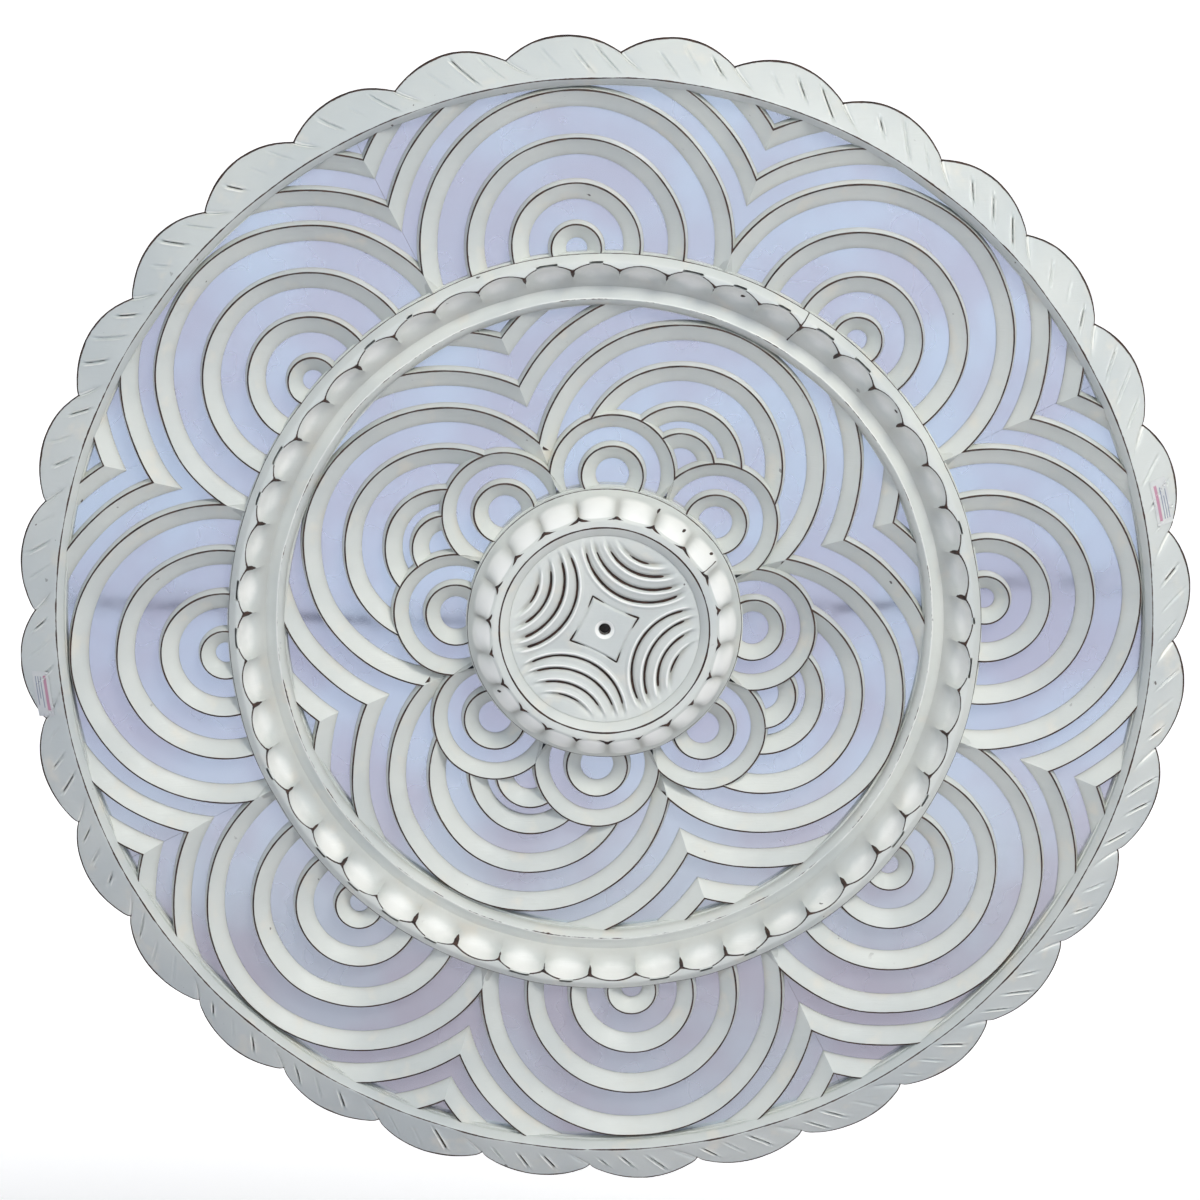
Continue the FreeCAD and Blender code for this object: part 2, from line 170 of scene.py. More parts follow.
# Section of a rib as offsets from its crest radius, heights and wear: a thin foot, a slightly hollow slope
# up to a narrow worn crest, and a steep wall down.
def ribSection(slope):
    share = np.array([0, 0, 0.03, 0.22, 0.45, 0.68, 0.86, 0.94])
    rise = np.array([0, 0.12, 0.16, 0.30, 0.50, 0.725, 0.90, 0.985])
    inner = [(-slope * (1 - s), ribs["height"] * r, 0.0) for s, r in zip(share, rise)]
    crest = [(-0.95, ribs["height"], 0.4), (-0.3, ribs["height"], 1.0), (0.3, 10.7, 0.75), (0.75, 9.4, 0.0)]
    wall = [(1.3, 7.2, 0.0), (2.0, 3.8, 0.0), (2.5, 1.2, 0.0), (ribs["wall"], 0.0, 0.0)]
    inner[-1] = (inner[-1][0], inner[-1][1], 0.15)
    return np.array(inner + crest + wall)


# Where the arcs of radius rho about a petal's centre run, as angles from the petal's axis. They start on
# the axis, or at the outer ring where they would cross it, and end at the first of: the plane between two
# petals, the inner ring, and the small petals in front.
def arcLimits(rho, petals, half, clips=()):
    centre = petals["centre"]
    cosine = (petals["outer"] ** 2 - centre ** 2 - rho ** 2) / (2 * centre * rho)
    start = np.arccos(np.clip(cosine, -1, 1))
    reach = centre * np.sin(half) / rho
    end = np.where(reach < 1, half + np.arcsin(np.minimum(reach, 1)), np.pi)
    cosine = (petals["inner"] ** 2 - centre ** 2 - rho ** 2) / (2 * centre * rho)
    end = np.minimum(end, np.arccos(np.clip(cosine, -1, 1)))
    for distance, bearing, radius in clips:
        cosine = (rho ** 2 + distance ** 2 - radius ** 2) / (2 * rho * distance)
        end = np.minimum(end, np.where(cosine < 1, bearing - np.arccos(np.clip(cosine, -1, 1)), np.pi))
    return start, end


# The shells of one petal's ribs: the section carried round the petal's centre between those limits, each
# row of the section with its own limits, so that ribs of neighbouring petals meet in a mitre.
def petalShells(petals, number, radii, slope, base, clips=()):
    half = math.pi / petals["count"]
    axis = math.radians(petals["axis"]) + number * 2 * half
    section = ribSection(slope)
    shells = []
    for order, radius in enumerate(radii):
        rho = np.maximum(radius + section[:, :1], 3.0)
        start, end = arcLimits(rho, petals, half, clips)
        split = start[section[:, 1].argmax(), 0] > 0.02
        for side in (-1, 1) if split else (0,):
            low = start if side else -end
            columns = max(6, int(radius * (end - low).mean() / ribs["spacing"]))
            turn = low + (end - low) * np.linspace(0, 1, columns)[None, :]
            turn = turn * (side or 1)
            along = petals["centre"] + rho * np.cos(turn)
            across = rho * np.sin(turn)
            x = along * math.cos(axis) - across * math.sin(axis)
            z = along * math.sin(axis) + across * math.cos(axis)
            lift = 1 + 0.03 * waves(x, z, 60.0, 31 + order)
            points = handCarved(stand(x, z, base + section[:, 1:2] * lift))
            # the foot of each rib, beside the glass, is darkened: painted shade with dirt
            shells.append({"points": points, "wearAndShadow": section[:, 2:3] * np.ones(columns),
                           "hollowShadeAndDirt": np.exp(-section[:, 1:2] / 2.0) * np.ones(columns)})
    return shells


# A flat ring with one broken edge: its section turned round the panel's centre.
def bandShell(inner, outer, height, base):
    angles = np.linspace(0, 2 * np.pi, 360, endpoint=False)
    section = [(inner, base), (inner, base + height), (outer - 0.3, base + height),
               (outer, base + height - 0.3), (outer, base)]
    radius, depth = (column[:, None] + 0 * angles for column in np.array(section).T)
    points = handCarved(fromPolar(radius, angles + 0 * radius, depth), 0.25, 90.0, 9)
    return {"points": points, "ring": True}


def makeOuterFretwork():
    shells = []
    bud = dict(outerPetals, centre=outerPetals["budCentre"])
    for number in range(outerPetals["count"]):
        shells += petalShells(outerPetals, number, outerPetals["radii"], ribs["slope"], outerGlass)
        shells += petalShells(bud, number, (bud["budRadius"],), ribs["smallSlope"], outerGlass)
    shells += [bandShell(*band, outerGlass) for band in bands["outer"]]
    return shellsToObject("outer_carved_petals", shells)


# Seen from a big petal's centre, the small petal beside it on either side cuts its ribs short.
def makeInnerFretwork():
    shells = []
    small = smallPetals["centre"] * np.exp(1j * math.radians(smallPetals["axis"] + 45 - bigPetals["axis"]))
    clips = []
    for turn in (0, 45):
        gap = small * np.exp(1j * math.radians(turn)) - bigPetals["centre"]
        clips.append((abs(gap), np.angle(gap), smallPetals["radii"][-1] - 0.3))
    for number in range(bigPetals["count"]):
        shells += petalShells(bigPetals, number, bigPetals["radii"], ribs["slope"], innerGlass, clips)
    for number in range(smallPetals["count"]):
        shells += petalShells(smallPetals, number, smallPetals["radii"], ribs["smallSlope"], innerGlass)
    shells += [bandShell(*band, innerGlass) for band in bands["inner"]]
    return shellsToObject("inner_carved_petals", shells)


rim = {
    "leaves": 32, "start": 9.7, "notch": 443.5, "tip": 457.0,
    "ridge": 425.5, "foot": 419.5, "bore": 426.4, "edgeDepth": 28.0, "seat": 40.0,
    "shear": 3.1,                       # degrees by which the gouges lean over between ridge and edge
    "gouges": (0.25, 0.49, 0.73), "gougeDepth": 2.6, "notchDepth": 3.4, "pillow": 2.2,
    "drift": 0.035,                     # how unevenly the gouges sit across a leaf
    "rows": 18,
}
rimBack, rimFront = depths("rim_segment_1")
rimSlope = (rimFront - rim["edgeDepth"]) / (rim["tip"] - rim["ridge"])
leafStep = 2 * np.pi / rim["leaves"]    # the angle that one leaf takes, and its width at the tip
leafWidth = rim["tip"] * leafStep


# A leaf's outline: the arc through two notches and the tip between them, as a radius for a fraction t
# across it.
def leafEdge(t):
    angle = (t - 0.5) * leafStep
    halfChord = rim["notch"] * np.sin(leafStep / 2)
    sagitta = rim["tip"] - rim["notch"] * np.cos(leafStep / 2)
    bow = (halfChord ** 2 + sagitta ** 2) / (2 * sagitta)
    centre = rim["tip"] - bow
    return centre * np.cos(angle) + np.sqrt(bow ** 2 - (centre * np.sin(angle)) ** 2)


# Depth of a leaf's face at fraction t across leaf number leaf and fraction v from ridge to edge: a cone,
# swollen a little between the notches, with leaning gouges. A gouge is a narrow V with raised lips, as
# strong as the tool was pressed on that leaf. With the depth come the colour layers: the bottom line of
# each gouge is darkened as painted shadow, its lips and the notches' sides are lightened as painted
# highlight, and the notches are worn dark near the edge.
def leafDepth(leaf, t, v, radius):
    depth = rimFront - rimSlope * (radius - rim["ridge"])
    depth = depth + rim["pillow"] * np.sin(np.pi * t) * v * (1.3 - v)
    rng = np.random.default_rng(77)
    press = np.clip(rng.uniform(0.2, 1.3, (rim["leaves"], 3)), 0, 1)
    start, end = rng.uniform(0.10, 0.34, (rim["leaves"], 3)), rng.uniform(0.66, 0.94, (rim["leaves"], 3))
    wearAndShadow, highlightAndFreshWhite = 0 * depth, 0 * depth
    for number, spot in enumerate(rim["gouges"]):
        away = (t - spot) * leafWidth
        begin, stop = start[leaf, number], end[leaf, number]
        window = press[leaf, number] * smooth(begin - 0.08, begin + 0.15, v)
        window = window * (1 - smooth(stop - 0.15, stop + 0.06, v))
        depth = depth + window * rim["gougeDepth"] * (0.35 * np.exp(-((np.abs(away) - 2.4) / 0.9) ** 2)
                                                      - np.exp(-(np.abs(away) / 1.3) ** 1.5))
        # the bottom line of the gouge: painted shadow
        wearAndShadow = np.maximum(wearAndShadow, 0.66 * window * np.exp(-((away + 0.1) / 0.75) ** 2))
        # the gouge's lips: painted highlight
        highlightAndFreshWhite = np.maximum(highlightAndFreshWhite, window * np.exp(-((np.abs(away) - 2.0) / 0.8) ** 2))
    for spot in (0.0, 1.0):
        away = (t - spot) * leafWidth
        window = smooth(0.12, 0.6, v)
        depth = depth - window * rim["notchDepth"] * np.exp(-(np.abs(away) / 2.0) ** 1.3)
        # the notches' sides: painted highlight
        highlightAndFreshWhite = np.maximum(highlightAndFreshWhite, 0.9 * window * np.exp(-((np.abs(away) - 1.3) / 0.9) ** 2))
        wearAndShadow = np.maximum(wearAndShadow, 0.5 * smooth(0.62, 1.0, v) * np.exp(-(away / 0.6) ** 2))
    return depth, wearAndShadow, highlightAndFreshWhite


def rimColumns():                       # fractions across a leaf, closer together beside the gouges
    beside = np.array([-5, -3.3, -2.4, -1.6, -1.0, -0.5, 0, 0.5, 1.0, 1.6, 2.4, 3.3, 5]) / leafWidth
    spots = [np.linspace(0, 1, 15)] + [spot + beside for spot in rim["gouges"] + (0.0, 1.0)]
    spots = np.unique(np.round(np.clip(np.concatenate(spots), 0, 1), 3))
    keep = np.concatenate([[True], np.diff(spots) > 0.004])
    keep[-2:] = (False, True)
    return spots[keep]


# A quarter of the rim. Each row runs along the leaves at one share of the way from ridge to edge, turned
# with the lean of the gouges: the back, the inner face up to the ridge, the leaves and the edge.
def makeRimSegment(number):
    across = rimColumns()
    leaves = rim["leaves"] // 4
    t = np.concatenate([np.tile(across[:-1], leaves), [1.0]])
    leaf = np.concatenate([np.repeat(np.arange(leaves), len(across) - 1), [leaves - 1]])
    leaf = leaf + number * leaves
    uneven = np.random.default_rng(78).uniform(-1, 1, leaves * 4)[leaf] * rim["drift"]
    shifted = t + uneven * np.sin(np.pi * t) ** 2
    edgeAngle = math.radians(rim["start"]) + (leaf + shifted) * leafStep
    edge = leafEdge(shifted)
    lean = math.radians(rim["shear"])
    radii, deeps, turns, wearAndShadowRows, highlightRows = [], [], [], [], []

    def row(radius, depth, v, wearAndShadow, highlightAndFreshWhite=0.0):
        radii.append(radius + 0 * edge)
        deeps.append(depth + 0 * edge)
        turns.append(edgeAngle - lean * (1 - v) ** 1.25)
        wearAndShadowRows.append(wearAndShadow + 0 * edge)
        highlightRows.append(highlightAndFreshWhite + 0 * edge)

    row(rim["bore"], rimBack, 0, 0)
    row(rim["bore"], rim["seat"], 0, 0)
    row(rim["foot"], rim["seat"], 0, 0)
    row(rim["foot"], rim["seat"] + 3.4, 0, 0)
    row(rim["foot"] + 0.6, rim["seat"] + 4.4, 0, 0.1)
    row(rim["foot"] + 2.6, rim["seat"] + 6.8, 0, 0)
    row(rim["ridge"] - 1.7, rimFront - 0.6, 0, 0.1)
    row(rim["ridge"] - 0.9, rimFront, 0, 0.72)
    row(rim["ridge"] - 0.1, rimFront, 0, 0.42)
    row(rim["ridge"] + 0.9, rimFront - 0.5, 0.02, 0.0)
    for v in np.linspace(0.07, 1.0, rim["rows"]):
        radius = rim["ridge"] + v * (edge - 0.9 - rim["ridge"])
        depth, wearAndShadow, highlightAndFreshWhite = leafDepth(leaf, t, v, radius)
        row(radius, depth, v, np.maximum(wearAndShadow, smooth(0.965, 1.0, v) * 0.8), highlightAndFreshWhite)
    row(edge - 0.25, deeps[-1] - 0.55, 1, 1.0)
    row(edge, deeps[-1] - 0.9, 1, 0.9)
    row(edge - 0.3, deeps[-1] - 3.5, 1, 0.25)
    row(edge - 2.5, rimBack + 2.0, 1, 0)
    row(edge - 4.5, rimBack, 1, 0)
    radius, depth, turn = np.array(radii), np.array(deeps), np.array(turns)
    points = handCarved(fromPolar(radius, turn, depth), 0.3, 80.0, 15)
    low, high = cadBox
    points[..., 0] = np.clip(points[..., 0], low.x, high.x)
    points[..., 2] = np.clip(points[..., 2], low.z, high.z)
    shell = {"points": points, "wearAndShadow": np.array(wearAndShadowRows), "highlightAndFreshWhite": np.array(highlightRows)}
    return shellsToObject("leaf_rim_%d" % (number + 1), [shell])


# Rows of (radius, depth, wear with painted shadow, painted shade with dirt, painted highlight with fresh
# white), where the last may be left out, as five grids over the angles.
def sectionGrids(rows, angle):
    return [np.array([(row + (0,))[i] + 0 * angle for row in rows]) for i in range(5)]


# Nail holes: full wear at the points of the grid nearest to the given bearings (degrees) and radii.
def nailHoles(wearAndShadow, radius, angle, nails):
    for bearing, reach in nails:
        away = np.abs((np.degrees(angle) - bearing + 180) % 360 - 180)
        column = away.argmin()
        if away[column] < 1:
            wearAndShadow[np.abs(radius[:, column] - reach).argmin(), column] = 1.5


flutes = {
    "count": 48, "start": 57.6,         # degrees to the first glue joint
    "bore": 250.0, "ledge": 255.5, "ledgeDepth": 31.0, "foot": 264.5, "footDepth": 26.5,
    "crest": 278.4, "scallop": 5.9, "spoon": 3.6, "top": 285.4,
    "outer": 292.0, "outerDepth": 44.0, "seat": 40.0, "body": 282.0,
    "columns": 14,                      # to a flute
    "nails": ((37.0, 281.0), (61.0, 275.0), (68.0, 279.0), (75.6, 276.0), (182.0, 280.0), (242.0, 277.0)),
    "crack": 0,                         # the segment whose first glue joint has opened
}
fluteBack, fluteFront = depths("middle_ring_segment_1")


# Section rows over the angle: the bore wall, a worn ledge, a cove and then the gouged slope, whose crest
# bows outwards within each flute by a share of a circle's arch, and the plain chamfer outside.
def makeFlutedSegment(number):
    count = flutes["count"] // 4
    t = np.concatenate([np.tile(np.linspace(0, 1, flutes["columns"], endpoint=False), count), [0.0]])
    angle = math.radians(flutes["start"] + 90 * number) + np.linspace(0, np.pi / 2, len(t))
    rng = np.random.default_rng(40 + number)
    uneven = np.repeat(rng.uniform(0.86, 1.12, count), flutes["columns"])
    uneven = np.concatenate([uneven, uneven[-1:]])
    bow = (1 - (2 * t - 1) ** 2) ** 0.8 * uneven
    bow[t == 0] = 0
    bow = np.minimum(bow, 1.08)
    press = rng.uniform(0.35, 1.25, count + 1)[np.round(np.arange(len(t)) / flutes["columns"]).astype(int)]
    crest = flutes["crest"] + flutes["scallop"] * bow
    bore, ledge, ledgeDepth = flutes["bore"], flutes["ledge"], flutes["ledgeDepth"]
    # The ledge's edge is lightened as painted highlight; the bore wall and the hidden seat are darkened as
    # painted shade with dirt.
    rows = [(bore, fluteBack, 0, 0), (bore, ledgeDepth - 6.0, 0, 0.4), (bore + 2.4, ledgeDepth - 3.0, 0, 0),
            (ledge - 1.1, ledgeDepth - 0.5, 0.3, 0), (ledge - 0.4, ledgeDepth, 0.5, 0, 0.6),
            (ledge + 0.3, ledgeDepth - 0.1, 0.2, 0, 0.6), (ledge + 1.2, ledgeDepth - 0.8, 0, 0),
            (ledge + 3.6, ledgeDepth - 2.4, 0, 0), (ledge + 6.4, ledgeDepth - 4.0, 0, 0.2)]
    for v in (0.0, 0.1, 0.2, 0.3, 0.4, 0.5, 0.6, 0.7, 0.8, 0.9, 0.97):
        rise = v ** 1.12 * (fluteFront - 0.5 - flutes["footDepth"])
        tongue = smooth(0.22, 0.62, v + 0.3 * (bow - 0.7))
        spoon = flutes["scallop"] * v + flutes["spoon"] * math.sin(math.pi * v ** 0.8)
        reach = flutes["foot"] + (flutes["crest"] - flutes["foot"]) * v + spoon * bow * smooth(0.05, 0.6, v)
        nick = 1.1 * press * np.exp(-bow ** 2 / 0.05) * smooth(0.5, 0.85, v)
        # down each flute the tongue is lightened as painted highlight and the rest darkened as painted
        # shade with dirt
        rows.append((reach, flutes["footDepth"] + rise, nick, 0.42 * (1 - tongue),
                     0.75 * tongue * np.sqrt(bow)))
    sharp = (1 - bow) ** 2.2
    rows.append((crest + 0.1, fluteFront - 0.25, 0.72 + 0.28 * sharp, 0))
    rows.append((crest + 0.6, fluteFront, 0.62 + 0.3 * sharp, 0))
    rows.append((crest + 1.3 + 1.2 * sharp, fluteFront, 0.45 * sharp, 0))
    rows.append((np.maximum(flutes["top"], crest + 1.5 + 1.3 * sharp), fluteFront, 0, 0))
    rows.append((flutes["top"] + 1.2, fluteFront - 0.7, 0, 0))
    outer, outerDepth = flutes["outer"], flutes["outerDepth"]
    rows += [(outer - 3.2, outerDepth + 3.2, 0, 0), (outer - 0.7, outerDepth + 0.6, 0.25, 0),
             (outer, outerDepth - 0.1, 0.85, 0), (outer, outerDepth - 0.8, 0.3, 0),
             (outer, flutes["seat"], 0, 0.3), (flutes["body"], flutes["seat"], 0, 0),
             (flutes["body"], fluteBack, 0, 0)]
    radius, depth, wearAndShadow, hollowShadeAndDirt, highlightAndFreshWhite = sectionGrids(rows, angle)
    nailHoles(wearAndShadow[:-4], radius[:-4], angle, flutes["nails"])
    if number == flutes["crack"]:
        wearAndShadow[9:-4, 0] = 0.85
    points = handCarved(fromPolar(radius, angle + 0 * radius, depth), 0.3, 80.0, 25)
    shell = {"points": points, "wearAndShadow": wearAndShadow, "hollowShadeAndDirt": hollowShadeAndDirt, "highlightAndFreshWhite": highlightAndFreshWhite}
    return shellsToObject("fluted_ring_%d" % (number + 1), [shell])


lobes = {
    "count": 21, "first": 12.0, "joint": 31.0, "bore": 74.0, "edge": 81.5, "crest": 86.8, "scallop": 4.6,
    "foot": 107.0, "footDepth": 28.0, "bulge": 7.2, "columns": 16,
    "drift": 3.3, "sway": 5.0, "swayAt": 172.0,  # degrees by which the spacing is uneven, and where most
    "nails": ((65.6, 99.0), (51.8, 98.0), (34.8, 101.0), (211.0, 96.0)),
    "crack": 0,                         # the half whose first glue joint has opened
}
lobeBack, lobeFront = depths("centre_ring_half_1")


# The angle is bent by one slow wave, because the carver spaced the lobes unevenly. Each lobe is a dome,
# round across, that fades out before the plain foot and is lightened as painted highlight; the crest is
# worn, and between two lobes it has a dark notch, painted shadow, with the valley below it darkened as
# painted shade with dirt.
def makeLobedHalf(number):
    total = lobes["count"] * lobes["columns"]
    angle = math.radians(lobes["joint"]) + np.linspace(0, np.pi, total // 2 + 1) + number * np.pi
    degrees = np.degrees(angle)
    drift = lobes["drift"] + lobes["sway"] * np.cos(np.radians(degrees - lobes["swayAt"]))
    turn = (degrees - drift - lobes["first"]) * lobes["count"] / 360 + 0.5
    t = turn % 1
    dome = np.sqrt(1 - (2 * np.minimum(t, 1 - t)) ** 2)
    gap = 1 - dome
    crest = lobes["crest"] + lobes["scallop"] * gap
    press = np.random.default_rng(61).uniform(0.75, 1.15, lobes["count"] + 1)
    notch = gap ** 0.62 * press[np.floor(turn).astype(int) % lobes["count"]]
    bore, edge, foot, footDepth = lobes["bore"], lobes["edge"], lobes["foot"], lobes["footDepth"]
    # the bore wall is darkened: painted shade with dirt
    rows = [(bore, lobeBack, 0, 0), (bore, lobeFront - 6.4, 0, 0.2), (bore + 0.8, lobeFront - 5.6, 0, 0.1),
            (bore + 3.4, lobeFront - 3.0, 0, 0), (edge - 1.2, lobeFront - 1.0, 0.2, 0),
            (edge - 0.5, lobeFront - 0.5, 1, 0), (edge + 0.2, lobeFront - 0.4, 0.6, 0),
            (edge + 1.0, lobeFront - 0.4, 0, 0), (edge + 3.1, lobeFront - 0.2, 0, 0),
            (crest - 0.5 - 2.6 * gap, lobeFront - 0.1, 0, 0.4 * gap),
            (crest - 0.4 - 1.8 * gap, lobeFront - 0.3, notch, 0),
            (crest, lobeFront - 0.3, 0.2 + notch, 0), (crest + 0.7, lobeFront - 0.9, 0.8 * notch, 0)]
    for v in (0.07, 0.14, 0.24, 0.36, 0.48, 0.6, 0.72, 0.84, 0.94):
        fade = 1 - smooth(0.6, 0.9, v)
        middle = lobes["crest"] + lobes["scallop"] * (gap * fade + 0.5 * (1 - fade))
        out = middle + (foot - 1.0 - middle) * v ** 0.9
        swell = lobes["bulge"] * (dome - 0.62) * np.sin(np.pi * min(1, v / 0.88)) * fade ** 0.5
        drop = (lobeFront - footDepth - 3) * v ** 1.15
        rows.append((out + swell, lobeFront - 0.6 - drop, 0, 0.8 * fade * gap ** 1.3 + 0.12,
                     0.85 * fade * dome))
    rows += [(foot - 0.7, footDepth + 2.2, 0.35, 0), (foot - 0.1, footDepth + 1.6, 0.8, 0),
             (foot, footDepth + 0.6, 0.2, 0), (foot, lobeBack, 0, 0)]
    radius, depth, wearAndShadow, hollowShadeAndDirt, highlightAndFreshWhite = sectionGrids(rows, angle)
    nailHoles(wearAndShadow[8:-2], radius[8:-2], angle, lobes["nails"])
    if number == lobes["crack"]:
        wearAndShadow[12:19, 0] = 0.8
    points = handCarved(fromPolar(radius, angle + 0 * radius, depth), 0.3, 90.0, 35)
    shell = {"points": points, "wearAndShadow": wearAndShadow, "hollowShadeAndDirt": hollowShadeAndDirt, "highlightAndFreshWhite": highlightAndFreshWhite}
    return shellsToObject("lobed_ring_%d" % (number + 1), [shell])


medallion = {
    "radius": 73.85, "hole": 4.2, "sink": 8.0, "fanAxis": 64.0,
    "nearest": (28.8, 39.6, 50.4, 60.2), "bends": (50.0, 48.0, 41.0, 33.0),  # of a fan's four grooves
    "squareCentre": 170.0, "squareSide": 151.8, "depth": 3.4,
    # a groove's section: outwards from its bottom line, and how deep as a share of the depth
    "groove": ((-5.2, -0.32), (-2.6, -0.5), (-1.0, -0.85), (0.0, -1.0), (0.9, -0.5), (2.0, -0.02),
               (2.8, 0.0), (5.2, -0.32)),
    "columns": 720, "rows": 120,
}


# Relief of the face at (x, z), with three colour layers: the bottom lines of the grooves and the groove
# round the plateau are darkened as painted shadow, the deeper parts as painted shade with dirt, and the
# ridge beside each groove is lightened as painted highlight. Four fans of four arched grooves: on one side
# of a groove the surface climbs steeply to a ridge, on the other it falls slowly, and the grooves run out
# near the edge. In the middle is a plateau, a square with slightly hollow sides, cut round by a groove
# that is deepest at its corners.
def medallionRelief(x, z, radius):
    closest, side = np.full(np.shape(x), 999.0), np.full(np.shape(x), 999.0)
    for k in range(4):
        axis = math.radians(medallion["fanAxis"] + 90 * k)
        along, across = math.cos(axis), math.sin(axis)
        for near, bend in zip(medallion["nearest"], medallion["bends"]):
            away = np.hypot(x - (near + bend) * along, z - (near + bend) * across) - bend
            away = np.where(x * along + z * across > 0, away, 999.0)
            closest = np.where(np.abs(away) < np.abs(closest), away, closest)
        far = medallion["squareCentre"]
        side = np.minimum(side, np.hypot(x - far * along, z - far * across) - medallion["squareSide"])
    deep = medallion["depth"]
    offset, height = np.array(medallion["groove"]).T
    fade = 1 - smooth(63.0, 72.0, radius)
    relief = deep * np.interp(closest, offset, height) * (0.1 + 0.9 * fade) - 0.5 * (1 - fade)
    plateau = smooth(-0.2, 1.6, side)
    relief = relief * (1 - plateau)
    corner = smooth(17.0, 26.0, radius)
    edge = np.exp(-((side + 0.3) / 0.75) ** 2) * (0.25 + 0.75 * corner) * (1 - smooth(27.5, 29.5, radius))
    relief = relief - 0.45 * deep * edge
    line = np.exp(-((closest + 0.15) / 1.05) ** 2) * (1 - smooth(59.0, 65.0, radius))
    wearAndShadow = np.maximum(0.9 * edge, line)
    hollowShadeAndDirt = np.clip(-relief / deep, 0, 1) ** 1.5 * 0.8 * fade
    highlightAndFreshWhite = np.exp(-((closest - 2.5) / 0.9) ** 2) * fade * (1 - plateau)
    return relief, wearAndShadow, hollowShadeAndDirt, highlightAndFreshWhite


# Rings of points from the screw's hole and its sink over the carved face to the edge and the back.
def makeMedallion():
    back, front = depths("medallion")
    hole = medallion["hole"]
    angles = np.linspace(0, 2 * np.pi, medallion["columns"], endpoint=False)
    radius = np.linspace(medallion["sink"], medallion["radius"] - 0.5, medallion["rows"])[:, None]
    x, z = radius * np.cos(angles), radius * np.sin(angles)
    relief, wearAndShadow, hollowShadeAndDirt, highlightAndFreshWhite = medallionRelief(x, z, radius + 0 * x)
    faceDepth = front + np.minimum(relief, 0) - 0.02
    # the hole is darkened as painted shade with dirt; the sink's slope is fresh white paint
    inside = [(hole, back, 0, 0.5, 0), (hole, front - 2.9, 0.9, 0.5, 0),
              (hole + 0.2, front - 2.5, 0.6, 0, 0), (hole + 1.0, front - 1.8, 0, 0, 0.8),
              (medallion["sink"] - 0.8, front - 0.4, 0, 0, 1)]
    outside = [(medallion["radius"], front - 0.8, 0, 0.1, 0), (medallion["radius"], back, 0, 0, 0)]
    rows = [[np.full(len(angles), v) for v in r] for r in inside]
    rows += [[radius[i] + 0 * angles, faceDepth[i], wearAndShadow[i], hollowShadeAndDirt[i], highlightAndFreshWhite[i]] for i in range(len(radius))]
    rows += [[np.full(len(angles), v) for v in r] for r in outside]
    reach, depth, wearAndShadow, hollowShadeAndDirt, highlightAndFreshWhite = (np.array([row[i] for row in rows]) for i in range(5))
    points = handCarved(fromPolar(reach, angles + 0 * reach, depth), 0.3, 90.0, 35)
    shell = {"points": points, "wearAndShadow": wearAndShadow, "hollowShadeAndDirt": hollowShadeAndDirt, "highlightAndFreshWhite": highlightAndFreshWhite, "ring": True}
    return shellsToObject("carved_medallion", [shell], 50)


labels = {"length": 36.0, "width": 16.4, "radius": 441.0, "thick": 0.3, "left": 187.0, "right": 13.0}


# A paper strip laid on the leaves: a grid of angle and radius that follows the leaf's face just below it.
# Because the gouges lean, the place of a point on its leaf is found in a few rounds.
def makeLabel(side):
    along, inward = np.meshgrid(np.linspace(-1, 1, 25), np.linspace(-1, 1, 9))
    angle = math.radians(labels[side]) + along * labels["length"] / 2 / labels["radius"]
    radius = labels["radius"] + inward * labels["width"] / 2 / math.hypot(1, rimSlope)
    start = math.radians(rim["start"])
    spot = (angle - start) / leafStep
    for _ in range(3):
        v = np.clip((radius - rim["ridge"]) / (leafEdge(spot % 1) - 0.9 - rim["ridge"]), 0, 1)
        spot = (angle + math.radians(rim["shear"]) * (1 - v) ** 1.25 - start) / leafStep
    leaf = np.floor(spot).astype(int) % rim["leaves"]
    depth = leafDepth(leaf, spot % 1, v, radius)[0]
    depth = np.maximum(depth, np.roll(depth, 1, 1)) + 0.25
    top = handCarved(fromPolar(radius, angle, depth + labels["thick"]), 0.3, 80.0, 15)
    under = handCarved(fromPolar(radius, angle, depth), 0.3, 80.0, 15)
    rows, columns = along.shape
    index = np.arange(rows * columns).reshape(rows, columns)
    quads = np.stack([index[:-1, :-1], index[:-1, 1:], index[1:, 1:], index[1:, :-1]], -1).reshape(-1, 4)
    border = np.concatenate([index[0], index[1:, -1], index[-1, -2::-1], index[-2:0:-1, 0]])
    nextOne = np.roll(border, -1)
    lower = rows * columns
    sides = np.stack([border, border + lower, nextOne + lower, nextOne], -1)
    faces = np.concatenate([quads, quads[:, ::-1] + lower, sides])
    corners = np.concatenate([top.reshape(-1, 3), under.reshape(-1, 3)])
    a, b, c = (corners[quads[0, i]] for i in range(3))
    if np.cross(b - a, c - a)[1] > 0:
        faces = faces[:, ::-1]
    mesh = bpy.data.meshes.new("paper_label_" + side)
    mesh.from_pydata(corners.tolist(), [], faces.tolist())
    layer = mesh.uv_layers.new(name="UVMap")
    onPaper = np.tile(np.stack([along.ravel() + 1, inward.ravel() + 1], -1) / 2, (2, 1))
    loops = np.empty(len(mesh.loops), np.int32)
    mesh.loops.foreach_get("vertex_index", loops)
    layer.data.foreach_set("uv", onPaper[loops].ravel().astype(np.float32))
    piece = bpy.data.objects.new("paper_label_" + side, mesh)
    bpy.context.scene.collection.objects.link(piece)
    return piece


